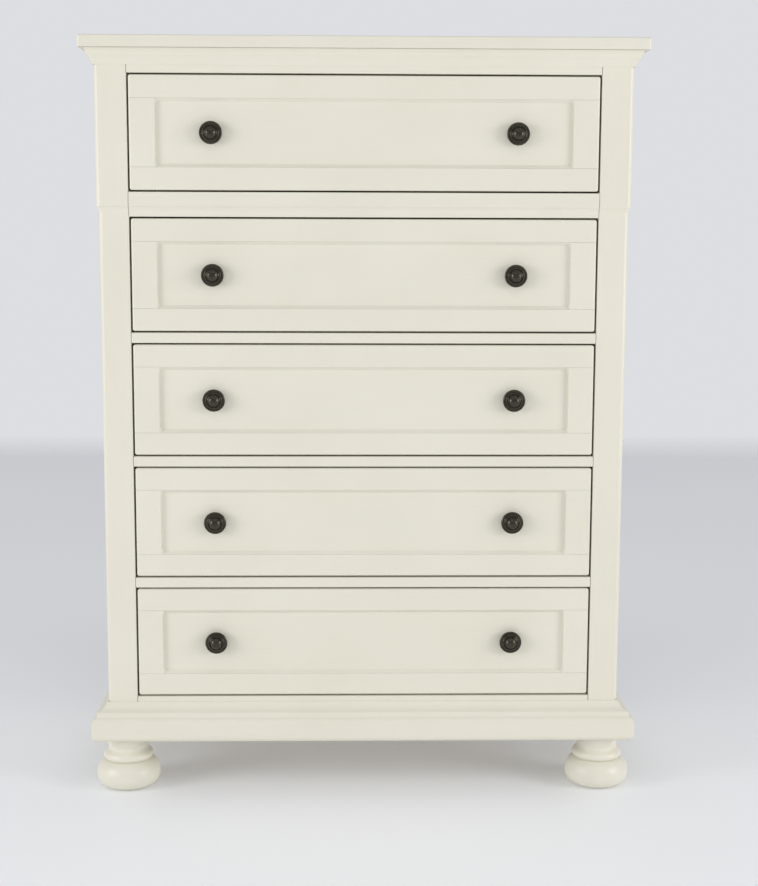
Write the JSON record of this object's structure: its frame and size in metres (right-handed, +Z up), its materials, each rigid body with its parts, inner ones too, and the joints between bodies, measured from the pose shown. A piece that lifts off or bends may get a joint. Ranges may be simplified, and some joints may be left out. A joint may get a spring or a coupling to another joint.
{
  "type": "tall chest of drawers",
  "caption": "Tall painted chest of wide panelled drawers on turned bun feet, with cove mouldings and round ringed knobs.",
  "frame": {"origin": "on the floor, under the centre of the chest's bounding box", "axes": "+Z up; the drawer fronts face -Y; +X is on the right as the chest is looked at from the front"},
  "size_m": [0.969, 0.458, 1.325],
  "materials": {
    "paint": "satin antique-white paint over wood, soft brush marks",
    "drawer_wood": "clear-lacquered pale hardwood drawer box",
    "carcass_board": "painted front rail with a plain board behind it",
    "back_board": "thin unpainted hardboard",
    "slide_steel": "zinc-plated rolled steel",
    "knob_bronze": "dark oil-rubbed bronze, lighter on the worn edges"
  },
  "bodies": {
    "carcass": {"top_panel": "paint", "crown_moulding": "paint", "base_moulding": "paint", "top_rail": "paint", "waist_rail": "paint", "divider_rail_1": "paint", "divider_rail_2": "paint", "divider_rail_3": "paint", "bottom_board": "carcass_board", "back_panel": "back_board", "post_front_left": "paint", "post_rear_left": "paint", "side_panel_left": "paint", "foot_front_left": "paint", "foot_rear_left": "paint", "post_front_right": "paint", "post_rear_right": "paint", "side_panel_right": "paint", "foot_front_right": "paint", "foot_rear_right": "paint", "case_slide_1_left": "slide_steel", "case_slide_1_right": "slide_steel", "case_slide_2_left": "slide_steel", "case_slide_2_right": "slide_steel", "case_slide_3_left": "slide_steel", "case_slide_3_right": "slide_steel", "case_slide_4_left": "slide_steel", "case_slide_4_right": "slide_steel", "case_slide_5_left": "slide_steel", "case_slide_5_right": "slide_steel"},
    "drawer_1": {"drawer_1_front": "paint", "drawer_1_box": "drawer_wood", "drawer_1_knob_left": "knob_bronze", "drawer_1_knob_right": "knob_bronze", "drawer_1_slide_left": "slide_steel", "drawer_1_slide_right": "slide_steel"},
    "drawer_2": {"drawer_2_front": "paint", "drawer_2_box": "drawer_wood", "drawer_2_knob_left": "knob_bronze", "drawer_2_knob_right": "knob_bronze", "drawer_2_slide_left": "slide_steel", "drawer_2_slide_right": "slide_steel"},
    "drawer_3": {"drawer_3_front": "paint", "drawer_3_box": "drawer_wood", "drawer_3_knob_left": "knob_bronze", "drawer_3_knob_right": "knob_bronze", "drawer_3_slide_left": "slide_steel", "drawer_3_slide_right": "slide_steel"},
    "drawer_4": {"drawer_4_front": "paint", "drawer_4_box": "drawer_wood", "drawer_4_knob_left": "knob_bronze", "drawer_4_knob_right": "knob_bronze", "drawer_4_slide_left": "slide_steel", "drawer_4_slide_right": "slide_steel"},
    "drawer_5": {"drawer_5_front": "paint", "drawer_5_box": "drawer_wood", "drawer_5_knob_left": "knob_bronze", "drawer_5_knob_right": "knob_bronze", "drawer_5_slide_left": "slide_steel", "drawer_5_slide_right": "slide_steel"}
  },
  "joints": [
    {"name": "drawer_1_travel", "type": "slide", "parent": "carcass", "child": "drawer_1", "axis": [0, -1, 0], "range_m": [0, 0.28]},
    {"name": "drawer_2_travel", "type": "slide", "parent": "carcass", "child": "drawer_2", "axis": [0, -1, 0], "range_m": [0, 0.28]},
    {"name": "drawer_3_travel", "type": "slide", "parent": "carcass", "child": "drawer_3", "axis": [0, -1, 0], "range_m": [0, 0.28]},
    {"name": "drawer_4_travel", "type": "slide", "parent": "carcass", "child": "drawer_4", "axis": [0, -1, 0], "range_m": [0, 0.28]},
    {"name": "drawer_5_travel", "type": "slide", "parent": "carcass", "child": "drawer_5", "axis": [0, -1, 0], "range_m": [0, 0.28]}
  ]
}
